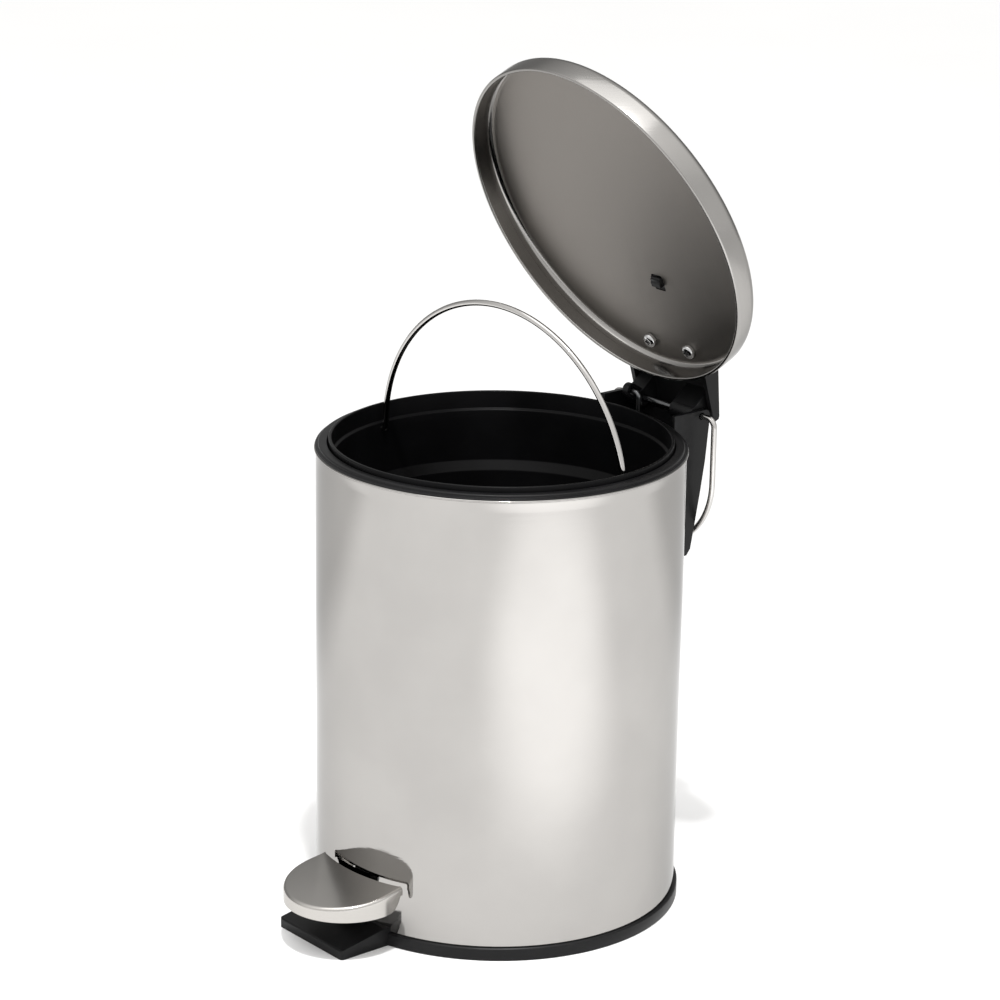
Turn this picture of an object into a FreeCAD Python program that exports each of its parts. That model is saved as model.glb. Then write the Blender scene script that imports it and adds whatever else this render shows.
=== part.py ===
import FreeCAD, Part
import math
import os

from FreeCAD import Placement, Rotation, Vector

# Pedal bin, 3 litres.  Millimetres, +Z up.
# The origin is on the floor, on the axis of the round body.
# The pedal points to -Y and the lid hinge is on the +Y side.
# The rest pose is the bin in use: pedal pressed, lid open, bucket bail upright.

# ---------------------------------------------------------------- driving dimensions
body_radius = 84.0
shell_wall = 0.6
shell_bottom = 6.2
shell_top = 215.3
flare_bottom = 209.0
flare_out = 0.7

base_radius = 85.6
base_floor = 2.0
base_wall_top = 13.0
tongue_half_width = 23.4
tongue_front = 108.3
tongue_front_height = 4.5
tongue_rear_height = 8.7

collar_top = 217.3
collar_radius = 82.9
collar_lip = 84.3
collar_inner = 78.7
collar_depth = 12.0
tab_top = 208.8
tab_half_width = 8.0

bucket_rim_top = 219.5
bucket_rim_radius = 78.2
bucket_radius = 77.0
bucket_wall = 1.4
bucket_bottom = 38.0
bucket_bottom_radius = 66.0
bail_height = 207.3
bail_radius = 73.9
bail_wire = 1.4
bail_yaw = 7.0
bail_lean = 3.0

hinge_y = 99.5
hinge_z = 217.8
lid_open_angle = 65.0
lid_radius = 83.4
lid_wall = 0.6
lid_rim_z = 217.7
lid_side_height = 8.6
lid_shoulder = 4.0
lid_crown = 1.8
lid_hem = 6.8
screw_x = (-9.35, 17.25)
screw_y = 72.4
screw_seat = 229.7
screw_shank = 1.45
prong_x = 9.4
prong_y = 36.6
prong_half_width = 3.0
bracket_half_width = 27.0
knuckle_radius = 4.2
knuckle_spans = ((-22.8, -13.6), (8.0, 22.8))

housing_half_width = 26.0
housing_wall = 2.4
housing_top = 220.4
housing_bottom = 151.0
housing_window = 214.0
housing_front = 70.0
housing_boss_x = 10.0
housing_boss_radius = 4.0
housing_boss_heights = (168.0, 190.0)
collar_clearance = 86.4

tube_outer = 1.75
tube_inner = 1.38
tube_reach = 24.4
handle_wire = 1.35
handle_half_width = 34.5
handle_drop = 30.5
handle_plug = 19.0

rod_wire = 1.3
rod_x = -10.2
rod_inner_y = 80.0
hook_radius = 8.0

pivot_y = 15.0
pivot_z = 21.0
pin_radius = 2.5
lever_thickness = 2.0
lever_half_width = 10.0
lever_bottom = 15.0
bush_half_length = 11.0
block_inner = 12.0
block_outer = 19.0
block_half_depth = 9.0
block_top = pivot_z + 3.5
clamp_thickness = 2.4
clamp_screw_pitch = 5.6

pedal_radius = 27.6
pedal_centre = 93.6
pedal_corner = 27.1
pedal_rear_radius = 87.0
pedal_rear_height = 30.9
pedal_slope = 7.2
pedal_skirt_bottom = 20.5
pedal_sheet = 1.0
pedal_yaw = 3.6
slot_top = 31.2

# ---------------------------------------------------------------- worked-out values
shell_inner = body_radius - shell_wall
half_swing = math.radians(lid_open_angle / 2.0)
hook_y = hinge_y - hook_radius * math.cos(half_swing)
hook_z = hinge_z + hook_radius * math.sin(half_swing)
rod_travel = 2.0 * hook_radius * math.sin(half_swing)
ear_z = pivot_z + rod_travel / 2.0
X_AXIS = Vector(1, 0, 0)
Y_AXIS = Vector(0, 1, 0)
Z_AXIS = Vector(0, 0, 1)


# ---------------------------------------------------------------- helpers
def save(shape, node):
    """Write one sub-part to its own STEP file."""
    shape.exportStep("parts/" + node + ".step")
    print(node, "valid" if shape.isValid() else "NOT VALID", len(shape.Solids), round(shape.Volume, 1))


def box(x0, x1, y0, y1, z0, z1):
    """A box between two corners."""
    return Part.makeBox(x1 - x0, y1 - y0, z1 - z0, Vector(x0, y0, z0))


def cylinder(radius, start, direction, length):
    """A cylinder from a start point along a direction."""
    return Part.makeCylinder(radius, length, Vector(*start), direction)


def revolve(points):
    """Turn a closed outline of (radius, height) points about the Z axis."""
    corners = [Vector(r, 0, z) for r, z in points]
    face = Part.Face(Part.makePolygon(corners + corners[:1]))
    return face.revolve(Vector(0, 0, 0), Z_AXIS, 360)


def side_plate(points, x0, x1):
    """A closed outline of (y, z) points, extruded along X."""
    corners = [Vector(x0, y, z) for y, z in points]
    face = Part.Face(Part.makePolygon(corners + corners[:1]))
    return face.extrude(Vector(x1 - x0, 0, 0))


def arc_points(centre, radius, start, end, steps):
    """Points on an arc in a plane, angles in degrees."""
    turn = (end - start) / steps
    angles = [math.radians(start + turn * i) for i in range(steps + 1)]
    return [(centre[0] + radius * math.cos(a), centre[1] + radius * math.sin(a)) for a in angles]


def bent_wire(points, bend_radii, radius):
    """A round wire along straight runs, with an arc at each inner point."""
    corners = [Vector(*p) for p in points]
    edges = []
    start = corners[0]
    for before, corner, after, bend in zip(corners, corners[1:], corners[2:], bend_radii):
        towards = (before - corner).normalize()
        away = (after - corner).normalize()
        half = towards.getAngle(away) / 2.0
        setback = bend / math.tan(half)
        first = corner + towards * setback
        last = corner + away * setback
        bisector = (towards + away).normalize()
        middle = corner + bisector * (bend / math.sin(half) - bend)
        edges.append(Part.LineSegment(start, first).toShape())
        edges.append(Part.Arc(first, middle, last).toShape())
        start = last
    edges.append(Part.LineSegment(start, corners[-1]).toShape())
    return sweep_circle(edges, radius)


def sweep_circle(edges, radius):
    """Sweep a round section along joined edges."""
    path = Part.Wire(edges)
    first = edges[0]
    origin = first.valueAt(first.FirstParameter)
    section = Part.Wire([Part.makeCircle(radius, origin, first.tangentAt(first.FirstParameter))])
    return path.makePipeShell([section], True, False)


def strip(points, thickness, x0, x1):
    """A bent flat strip whose centre line is a chain of (y, z) points."""
    half = thickness / 2.0
    count = len(points)
    upper = []
    lower = []
    for i, (y, z) in enumerate(points):
        before = points[max(i - 1, 0)]
        after = points[min(i + 1, count - 1)]
        into = Vector(y - before[0], z - before[1], 0)
        out = Vector(after[0] - y, after[1] - z, 0)
        if into.Length == 0:
            into = out
        if out.Length == 0:
            out = into
        normal_in = Vector(-into.y, into.x, 0).normalize()
        normal_out = Vector(-out.y, out.x, 0).normalize()
        mitre = (normal_in + normal_out).normalize()
        reach = half / mitre.dot(normal_in)
        upper.append((y + mitre.x * reach, z + mitre.y * reach))
        lower.append((y - mitre.x * reach, z - mitre.y * reach))
    return side_plate(upper + lower[::-1], x0, x1)


def turned_lid(shape):
    """Swing a piece that is drawn with the lid closed to the open rest pose."""
    moved = shape.copy()
    moved.rotate(Vector(0, hinge_y, hinge_z), X_AXIS, -lid_open_angle)
    return moved


# ---------------------------------------------------------------- fixed body
def make_base_plate():
    """Black base: floor, rim, locating wall, foot tongue and two bearing blocks."""
    rim = revolve([
        (0, 0), (base_radius - 0.4, 0), (base_radius, 0.4), (base_radius, shell_bottom - 0.7),
        (base_radius - 0.5, shell_bottom - 0.2), (shell_inner - 0.1, shell_bottom - 0.2),
        (shell_inner - 0.1, base_wall_top), (shell_inner - 1.9, base_wall_top),
        (shell_inner - 1.9, base_floor), (0, base_floor)])
    inside = 80.0
    wedge = [
        (-inside, 0), (-tongue_front, 0), (-tongue_front, tongue_front_height - 0.6),
        (-tongue_front + 0.6, tongue_front_height),
        (-body_radius, tongue_rear_height), (-inside, tongue_rear_height)]
    tongue = side_plate(wedge, -tongue_half_width, tongue_half_width)
    corner_edges = [
        e for e in tongue.Edges
        if abs(e.BoundBox.YMax + tongue_front) < 0.1 and e.BoundBox.ZLength > 3]
    tongue = tongue.makeFillet(1.6, corner_edges)
    bore = cylinder(body_radius + 0.05, (0, 0, shell_bottom - 0.2), Z_AXIS, 20)
    tongue = tongue.cut(bore)
    hollow_roof = [
        (-body_radius - 1.5, -1), (-tongue_front + 2.2, -1), (-tongue_front + 2.2, tongue_front_height - 2.0),
        (-body_radius - 1.5, tongue_rear_height - 2.2)]
    hollow = side_plate(hollow_roof, -tongue_half_width + 2.2, tongue_half_width - 2.2)
    hollow = hollow.cut(cylinder(base_radius, (0, 0, -2), Z_AXIS, 20))
    ribs = [box(x - 0.8, x + 0.8, -tongue_front, -body_radius, -1, 9) for x in (-8.0, 8.0)]
    for rib in ribs:
        hollow = hollow.cut(rib)
    plate = rim.fuse(tongue).cut(hollow)
    plate = plate.cut(box(-10, -1, 75, shell_inner - 0.1, base_floor + 1.5, base_wall_top + 1))
    for side in (-1, 1):
        x0, x1 = sorted((side * block_inner, side * block_outer))
        block = box(x0, x1, pivot_y - block_half_depth, pivot_y + block_half_depth, base_floor - 0.5, block_top)
        saddle = cylinder(pin_radius + 0.02, (x0, pivot_y, pivot_z), X_AXIS, x1 - x0)
        saddle = saddle.fuse(box(x0, x1, pivot_y - 2.52, pivot_y + 2.52, pivot_z, pivot_z + 4))
        plate = plate.fuse(block).cut(saddle)
        for y in (pivot_y - clamp_screw_pitch, pivot_y + clamp_screw_pitch):
            middle = (x0 + x1) / 2.0
            plate = plate.cut(cylinder(1.05, (middle, y, pivot_z - 4.1), Z_AXIS, 9))
    return plate.removeSplitter()


def make_body_shell():
    """Round steel shell with a flared top edge, a pedal slot, a rod slot and screw holes."""
    shell = revolve([
        (shell_inner, shell_bottom), (body_radius, shell_bottom), (body_radius, flare_bottom),
        (body_radius + flare_out, shell_top - 0.7), (body_radius + flare_out - 0.1, shell_top - 0.2),
        (body_radius + flare_out - 0.3, shell_top), (shell_inner + flare_out + 0.1, shell_top),
        (shell_inner + flare_out, shell_top - 0.7), (shell_inner, flare_bottom)])
    pedal_slot = box(-12, 12, -90, -78, base_wall_top, slot_top)
    slot_edges = [e for e in pedal_slot.Edges if e.BoundBox.YLength > 11]
    shell = shell.cut(pedal_slot.makeFillet(2.0, slot_edges))
    rod_slot = box(rod_x - 3.2, rod_x + 3.2, 78, 90, 156, 180)
    slot_edges = [e for e in rod_slot.Edges if e.BoundBox.YLength > 11]
    shell = shell.cut(rod_slot.makeFillet(3.0, slot_edges))
    for height in housing_boss_heights:
        shell = shell.cut(cylinder(1.7, (housing_boss_x, 78, height), Y_AXIS, 12))
    return shell


def make_top_collar():
    """Black collar that plugs into the shell and carries the bucket on four tabs."""
    low = shell_top - collar_depth
    plug = shell_inner - 1.2
    ring = revolve([
        (plug - 1.4, low), (plug, low), (plug, shell_top + 0.02), (collar_lip, shell_top + 0.02),
        (collar_lip, shell_top + 0.5), (collar_radius, shell_top + 0.8),
        (collar_radius, collar_top - 0.5), (collar_radius - 0.5, collar_top),
        (collar_inner + 0.4, collar_top), (collar_inner, collar_top - 0.4),
        (collar_inner, shell_top - 3), (collar_inner + 1.2, shell_top - 3),
        (collar_inner + 1.2, collar_top - 1.8), (plug - 1.4, collar_top - 1.8)])
    tabs = revolve([
        (bucket_radius + 0.1, tab_top - 2.4), (plug - 0.7, tab_top - 2.4),
        (plug - 0.7, tab_top), (bucket_radius + 0.1, tab_top)])
    keep = box(-body_radius, body_radius, -tab_half_width, tab_half_width, tab_top - 5, tab_top + 3)
    for angle in (45, 135):
        bar = keep.copy()
        bar.rotate(Vector(0, 0, 0), Z_AXIS, angle)
        ring = ring.fuse(tabs.common(bar))
    return ring.removeSplitter()


def make_inner_bucket():
    """Lift-out plastic bucket with a stepped lip, a shoulder and two bail holes."""
    wall = bucket_wall
    outer = [
        (0, bucket_bottom), (bucket_bottom_radius - 3, bucket_bottom), (bucket_bottom_radius, bucket_bottom + 3),
        (73.6, 181.0), (76.3, 185.4), (bucket_radius, 206.0), (bucket_radius, tab_top),
        (bucket_rim_radius, tab_top), (bucket_rim_radius, bucket_rim_top - 0.6),
        (bucket_rim_radius - 0.5, bucket_rim_top)]
    inner = [
        (bucket_rim_radius - 1.0, bucket_rim_top), (bucket_rim_radius - wall, bucket_rim_top - 0.5),
        (bucket_rim_radius - wall, 211.2), (bucket_radius - wall, 210.4), (bucket_radius - wall, 206.3),
        (74.95, 186.0), (72.2, 181.6), (bucket_bottom_radius - wall, bucket_bottom + 4),
        (bucket_bottom_radius - 4, bucket_bottom + 1.6), (0, bucket_bottom + 1.6)]
    bucket = revolve(outer + inner)
    holes = cylinder(bail_wire + 0.05, (-90, 0, bail_height), X_AXIS, 180)
    holes.rotate(Vector(0, 0, 0), Z_AXIS, bail_yaw)
    return bucket.cut(holes)


def housing_outline(inset):
    """Side outline of the hinge housing, drawn in from the outside by an inset."""
    top = [(housing_front, housing_top), (102.6 - inset, housing_top)]
    rear = [(104.1 - inset, 219.6), (104.8 - inset, 218.2), (104.8 - inset, 217.0)]
    bow = [(102.6 - inset, 196.0), (99.9 - inset, 180.0)]
    foot = [(94.9 - inset, 154.0 + inset), (92.6 - inset, housing_bottom + inset)]
    return top + rear + bow + foot + [(housing_front, housing_bottom + inset)]


def make_hinge_housing():
    """Black channel on the back of the shell that holds the hinge tube and hides the rod."""
    half = housing_half_width
    outside = side_plate(housing_outline(0.0), -half, half)
    inner_half = half - housing_wall
    hollow = side_plate(housing_outline(2.0), -inner_half, inner_half)
    window = box(-inner_half, inner_half, housing_front, 115, housing_window, housing_top + 5)
    hollow = hollow.fuse(window)
    body = outside.cut(hollow)
    core = side_plate(housing_outline(1.0), -inner_half, inner_half)
    for height in housing_boss_heights:
        start = (housing_boss_x, housing_front + 8, height)
        boss = cylinder(housing_boss_radius, start, Y_AXIS, 40)
        body = body.fuse(boss.common(core))
        body = body.cut(cylinder(1.25, start, Y_AXIS, 14.5))
    body = body.cut(cylinder(body_radius + 0.06, (0, 0, housing_bottom - 10), Z_AXIS, 100))
    body = body.cut(cylinder(collar_clearance, (0, 0, flare_bottom - 0.5), Z_AXIS, 20))
    bore_start = (-housing_half_width - 10, hinge_y, hinge_z)
    return body.cut(cylinder(tube_outer + 0.02, bore_start, X_AXIS, 2 * housing_half_width + 20))


def make_screw(radius, head_radius, head_height, length):
    """A pan-head cross-recess screw along Z: head above zero, shank below."""
    dome = Part.makeCylinder(head_radius, head_height)
    rim = [e for e in dome.Edges if e.BoundBox.ZMin > head_height - 0.01 and e.BoundBox.ZLength < 0.01]
    dome = dome.makeFillet(head_height * 0.7, rim)
    depth = head_height * 0.6
    arm = head_radius * 0.95
    slot = head_radius * 0.26
    for span_x, span_y in ((arm, slot), (slot, arm)):
        cross = box(-span_x / 2, span_x / 2, -span_y / 2, span_y / 2, head_height - depth, head_height + 1)
        dome = dome.cut(cross)
    shank = Part.makeCylinder(radius, length, Vector(0, 0, -length))
    return dome.fuse(shank).removeSplitter()


def make_housing_screws():
    """Two screws from inside the shell into the housing bosses."""
    screws = []
    seat = math.sqrt(shell_inner ** 2 - housing_boss_x ** 2) - 0.55
    for height in housing_boss_heights:
        screw = make_screw(1.2, 2.9, 1.8, 9.0)
        screw.Placement = Placement(Vector(housing_boss_x, seat, height), Rotation(X_AXIS, 90))
        screws.append(screw)
    return Part.makeCompound(screws)


def make_hinge_tube():
    """Steel tube that the lid turns on; the carry handle plugs into its ends."""
    start = (-tube_reach, hinge_y, hinge_z)
    tube = cylinder(tube_outer, start, X_AXIS, 2 * tube_reach)
    return tube.cut(cylinder(tube_inner, start, X_AXIS, 2 * tube_reach))


def make_rod_guide():
    """Plastic clip inside the shell that keeps the push rod upright."""
    block = box(rod_x - 5, rod_x + 5, 76.9, 84, 96, 104)
    block = block.common(Part.makeCylinder(shell_inner - 0.05, 200))
    return block.cut(cylinder(rod_wire + 0.35, (rod_x, rod_inner_y, 90), Z_AXIS, 20))


def make_pivot_pin():
    """Steel pin that the pedal lever rocks on."""
    return cylinder(pin_radius, (-22, pivot_y, pivot_z), X_AXIS, 44)


def make_pin_clips():
    """Two spring clips on the ends of the pivot pin."""
    clips = []
    for x in (-20.6, 19.8):
        clip = cylinder(4.4, (x, pivot_y, pivot_z), X_AXIS, 0.8)
        clip = clip.cut(cylinder(pin_radius + 0.01, (x, pivot_y, pivot_z), X_AXIS, 0.8))
        clips.append(clip.cut(box(x, x + 0.8, pivot_y - 1.8, pivot_y + 1.8, pivot_z, pivot_z + 6)))
    return Part.makeCompound(clips)


def make_pivot_clamps():
    """Two plastic clamps that close the bearing saddles."""
    clamps = []
    top = block_top + clamp_thickness
    for side in (-1, 1):
        x0, x1 = sorted((side * block_inner, side * block_outer))
        plate = box(x0, x1, pivot_y - block_half_depth, pivot_y + block_half_depth, block_top, top)
        key = box(x0, x1, pivot_y - 2.45, pivot_y + 2.45, block_top - 0.9, block_top)
        clamp = plate.fuse(key)
        for y in (pivot_y - clamp_screw_pitch, pivot_y + clamp_screw_pitch):
            clamp = clamp.cut(cylinder(1.1, ((x0 + x1) / 2.0, y, block_top - 2), Z_AXIS, 6))
        clamps.append(clamp.removeSplitter())
    return Part.makeCompound(clamps)


def make_clamp_screws():
    """Four screws through the clamps into the bearing blocks."""
    screws = []
    middle = (block_inner + block_outer) / 2.0
    for x in (-middle, middle):
        for y in (pivot_y - clamp_screw_pitch, pivot_y + clamp_screw_pitch):
            screw = make_screw(1.0, 2.2, 1.5, 9.4)
            screw.translate(Vector(x, y, block_top + clamp_thickness))
            screws.append(screw)
    return Part.makeCompound(screws)


# ---------------------------------------------------------------- lid
def lid_profile(offset):
    """Outer lid outline from the rim to the crown, grown outwards by an offset."""
    side_top = lid_rim_z + lid_side_height
    edge = lid_radius - lid_shoulder
    shoulder = arc_points((edge, side_top), lid_shoulder + offset, 0.0, 84.0, 8)
    crown_z = side_top + lid_shoulder + lid_crown + offset
    crown = [(edge * 0.66, crown_z - lid_crown * 0.40), (edge * 0.33, crown_z - lid_crown * 0.10), (0, crown_z)]
    return shoulder + crown


def make_lid_shell():
    """Steel lid pan with a hemmed rim, closed pose, then swung open."""
    hem_top = lid_rim_z + lid_hem
    outside = [(lid_radius - 0.5, lid_rim_z), (lid_radius, lid_rim_z + 0.5)] + lid_profile(0.0)
    inside = lid_profile(-lid_wall)[::-1] + [
        (lid_radius - lid_wall, hem_top), (lid_radius - 1.7, hem_top - 0.4),
        (lid_radius - 1.7, lid_rim_z + 0.5), (lid_radius - 1.2, lid_rim_z)]
    pan = revolve(outside + inside)
    for x in screw_x:
        pan = pan.cut(cylinder(1.7, (x, screw_y, 220), Z_AXIS, 20))
    half = prong_half_width + 0.6
    pan = pan.cut(box(prong_x - half, prong_x + half, prong_y - 4.2, prong_y + 4.2, 225, 240))
    return turned_lid(pan)


def bracket_plan():
    """Plan outline of the bracket: wide at the hinge, a rounded nose on the lid."""
    half = bracket_half_width
    nose = arc_points((40.0, 0.0), 14.0, 90.0, 270.0, 16)
    rear = [(112.0, -half), (112.0, half)]
    left = [(72.0, half), (60.0, half - 6.0)]
    right = [(60.0, -half + 6.0), (72.0, -half)]
    corners = [Vector(x, y, 200) for y, x in left + nose + right + rear]
    face = Part.Face(Part.makePolygon(corners + corners[:1]))
    return face.extrude(Vector(0, 0, 60))


def make_lid_bracket():
    """Black bracket on the lid: pad, hood, hinge knuckles, rod arm and prong."""
    outline = [
        (20.0, 231.2), (24.0, 235.6), (60.0, 237.2), (78.0, 236.7), (84.7, 234.4),
        (105.3, 226.6), (106.3, 225.7), (106.3, 222.5), (83.3, 226.0), (20.0, 224.4)]
    body = side_plate(outline, -bracket_half_width, bracket_half_width).common(bracket_plan())
    envelope = revolve([(0, 200)] + [(lid_radius + 0.06, 200)] + lid_profile(0.06))
    body = body.cut(envelope)
    pocket = [(86.1, 200.0), (86.1, 231.2), (104.3, 224.5), (104.3, 200.0)]
    body = body.cut(side_plate(pocket, -bracket_half_width + 2.5, bracket_half_width - 2.5))
    for x0, x1 in knuckle_spans:
        barrel = cylinder(knuckle_radius, (x0, hinge_y, hinge_z), X_AXIS, x1 - x0)
        web = side_plate([
            (hinge_y - knuckle_radius, hinge_z), (hinge_y + 3.2, hinge_z),
            (hinge_y + 4.2, hinge_z + 7.3), (hinge_y - 7.5, hinge_z + 12.3)], x0, x1)
        body = body.fuse(barrel.fuse(web))
    tube_bore = cylinder(tube_outer + 0.05, (-tube_reach, hinge_y, hinge_z), X_AXIS, 2 * tube_reach)
    body = body.cut(tube_bore)
    for x in screw_x:
        body = body.cut(cylinder(screw_shank + 0.02, (x, screw_y, 226), Z_AXIS, 8.0))
    body = body.fuse(make_rod_arm())
    return turned_lid(body.fuse(make_prong()).removeSplitter())


def make_rod_arm():
    """Arm beside the left knuckle with the slotted eye for the rod hook."""
    arm = box(-18.4, -14.6, hinge_y - 11.4, hinge_y, hinge_z - 3.4, hinge_z + 3.4)
    tip_edges = [e for e in arm.Edges if e.BoundBox.XLength > 3 and e.BoundBox.YMax < hinge_y - 11]
    arm = arm.makeFillet(3.3, tip_edges)
    eye = box(-20, -13, hinge_y - 9.9, hinge_y - 4.9, hinge_z - 1.75, hinge_z + 1.75)
    eye_edges = [e for e in eye.Edges if e.BoundBox.XLength > 3]
    arm = arm.cut(eye.makeFillet(1.7, eye_edges))
    arm = arm.cut(cylinder(3.6, (-20, hinge_y, hinge_z), X_AXIS, 10))
    arm.rotate(Vector(0, hinge_y, hinge_z), X_AXIS, lid_open_angle / 2.0)
    return arm


def make_prong():
    """Prong under the bracket nose that hooks through the lid."""
    left = prong_x - prong_half_width
    right = prong_x + prong_half_width
    stem = box(left, right, prong_y - 2.6, prong_y + 1.2, 229.4, 233.4)
    catch = side_plate([
        (prong_y - 3.4, 230.8), (prong_y - 3.4, 230.2), (prong_y - 0.6, 229.0),
        (prong_y + 1.4, 229.0), (prong_y + 1.4, 230.8)], left, right)
    return stem.fuse(catch)


def make_lid_screws():
    """Two pan-head screws through the lid into the bracket."""
    screws = []
    for x in screw_x:
        screw = make_screw(screw_shank, 3.7, 2.6, 4.0)
        screw.Placement = Placement(Vector(x, screw_y, screw_seat), Rotation(X_AXIS, 180))
        screws.append(screw)
    return turned_lid(Part.makeCompound(screws))


# ---------------------------------------------------------------- push rod
def make_push_rod():
    """Bent wire from the lever ear, up inside the shell, out to the lid arm."""
    return bent_wire([
        (-20.2, hook_y, hook_z), (rod_x, hook_y, hook_z), (rod_x, hook_y, 194.0),
        (rod_x, rod_inner_y, 168.0), (rod_x, rod_inner_y, ear_z), (-1.6, rod_inner_y, ear_z)],
        (2.2, 8.0, 8.0, 2.2), rod_wire)


def make_rod_clip():
    """Star washer on the lower end of the push rod."""
    washer = cylinder(3.2, (-3.6, rod_inner_y, ear_z), X_AXIS, 0.7)
    return washer.cut(cylinder(rod_wire + 0.01, (-3.6, rod_inner_y, ear_z), X_AXIS, 0.7))


# ---------------------------------------------------------------- pedal lever
def make_pedal_lever():
    """Steel strip that rocks on the pin; its rear ear lifts the rod."""
    middle = lever_bottom + lever_thickness / 2.0
    under = pedal_rear_height - pedal_sheet - 0.15 - lever_thickness / 2.0
    slope = math.tan(math.radians(pedal_slope))
    line = [(71.0, middle), (-89.5, middle), (-96.0, under - slope * 9.6), (-113.0, under - slope * 26.6)]
    lever = strip(line, lever_thickness, -lever_half_width, lever_half_width)
    ear = box(-6.6, -4.6, 66.0, 82.4, lever_bottom, ear_z + 3.6)
    ear = ear.cut(side_plate([(60, 40), (60, 17.5), (66, 17.5), (76.0, 29.5), (76.0, 40)], -8, -3))
    ear = ear.cut(cylinder(rod_wire + 0.35, (-8, rod_inner_y, ear_z), X_AXIS, 6))
    return lever.fuse(ear).removeSplitter()


def make_lever_bush():
    """Sleeve welded on the lever, running on the pivot pin."""
    start = (-bush_half_length, pivot_y, pivot_z)
    sleeve = cylinder(4.0, start, X_AXIS, 2 * bush_half_length)
    return sleeve.cut(cylinder(pin_radius + 0.05, start, X_AXIS, 2 * bush_half_length))


def pedal_outline(inset):
    """Plan outline of the pedal: round front, straight flanks, open rear."""
    radius = pedal_radius - inset
    corner_x = pedal_corner - inset
    corner_y = -math.sqrt(pedal_rear_radius ** 2 - pedal_corner ** 2)
    dx = corner_x
    dy = corner_y + pedal_centre
    reach = math.hypot(dx, dy)
    tangent = math.degrees(math.atan2(dy, dx) - math.acos(min(radius / reach, 1.0)))
    front = arc_points((0.0, -pedal_centre), radius, tangent, -180.0 - tangent, 40)
    return [(corner_x, corner_y)] + front + [(-corner_x, corner_y)]


def pedal_block(inset, z0, top_offset):
    """The pedal outline as a block under the sloping top plane."""
    outline = pedal_outline(inset)
    outline = outline + [(outline[-1][0], -70.0), (outline[0][0], -70.0)]
    corners = [Vector(x, y, z0) for x, y in outline]
    block = Part.Face(Part.makePolygon(corners + corners[:1])).extrude(Vector(0, 0, 60))
    slope = math.tan(math.radians(pedal_slope))
    top = pedal_rear_height + top_offset
    above = side_plate([
        (-60, top + slope * 26), (-140, top - slope * 54), (-140, 120), (-60, 120)], -60, 60)
    return block.cut(above)


def make_pedal_plate():
    """Pressed sheet pedal with a skirt, yawed a little about the bin's axis."""
    plate = pedal_block(0.0, pedal_skirt_bottom, 0.0)
    plate = plate.cut(pedal_block(pedal_sheet, 0.0, -pedal_sheet))
    plate = plate.cut(cylinder(pedal_rear_radius, (0, 0, 0), Z_AXIS, 60))
    corner = box(-60, 60, -91.5, -70, 10, 27.5)
    corner = corner.cut(cylinder(7.0, (-60, -91.5, 27.5), X_AXIS, 120))
    plate = plate.cut(corner)
    plate.rotate(Vector(0, 0, 0), Z_AXIS, pedal_yaw)
    return plate


# ---------------------------------------------------------------- wire handles
def make_carry_handle():
    """Wire loop behind the bin, plugged into the hinge tube, hanging down."""
    half = handle_half_width
    bend = 4.0
    low = hinge_z - handle_drop

    def point(x, z):
        return Vector(x, hinge_y, z)

    shift = bend * (1.0 - math.sqrt(0.5))
    edges = [
        Part.LineSegment(point(handle_plug, hinge_z), point(half - bend, hinge_z)).toShape(),
        Part.Arc(point(half - bend, hinge_z), point(half - shift, hinge_z - shift),
                 point(half, hinge_z - bend)).toShape(),
        Part.LineSegment(point(half, hinge_z - bend), point(half, low)).toShape(),
        Part.Arc(point(half, low), point(0, low - half), point(-half, low)).toShape(),
        Part.LineSegment(point(-half, low), point(-half, hinge_z - bend)).toShape(),
        Part.Arc(point(-half, hinge_z - bend), point(-half + shift, hinge_z - shift),
                 point(-half + bend, hinge_z)).toShape(),
        Part.LineSegment(point(-half + bend, hinge_z), point(-handle_plug, hinge_z)).toShape()]
    return sweep_circle(edges, handle_wire)


def make_bail_handle():
    """Half-round wire bail of the bucket, nearly upright, with ends bent out into the wall."""
    bend = 2.0
    rise = 3.0
    r = bail_radius
    z = bail_height
    shift = bend * (1.0 - math.sqrt(0.5))
    lift = math.sqrt(r * r - rise * rise)
    edges = [
        Part.LineSegment(Vector(r + 4.4, 0, z), Vector(lift + bend, 0, z)).toShape(),
        Part.Arc(Vector(lift + bend, 0, z), Vector(lift + shift, 0, z + shift),
                 Vector(lift, 0, z + bend)).toShape(),
        Part.LineSegment(Vector(lift, 0, z + bend), Vector(lift, 0, z + rise)).toShape(),
        Part.Arc(Vector(lift, 0, z + rise), Vector(0, 0, z + r), Vector(-lift, 0, z + rise)).toShape(),
        Part.LineSegment(Vector(-lift, 0, z + rise), Vector(-lift, 0, z + bend)).toShape(),
        Part.Arc(Vector(-lift, 0, z + bend), Vector(-lift - shift, 0, z + shift),
                 Vector(-lift - bend, 0, z)).toShape(),
        Part.LineSegment(Vector(-lift - bend, 0, z), Vector(-r - 4.4, 0, z)).toShape()]
    bail = sweep_circle(edges, bail_wire)
    bail.rotate(Vector(0, 0, z), X_AXIS, bail_lean)
    bail.rotate(Vector(0, 0, 0), Z_AXIS, bail_yaw)
    return bail


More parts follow.
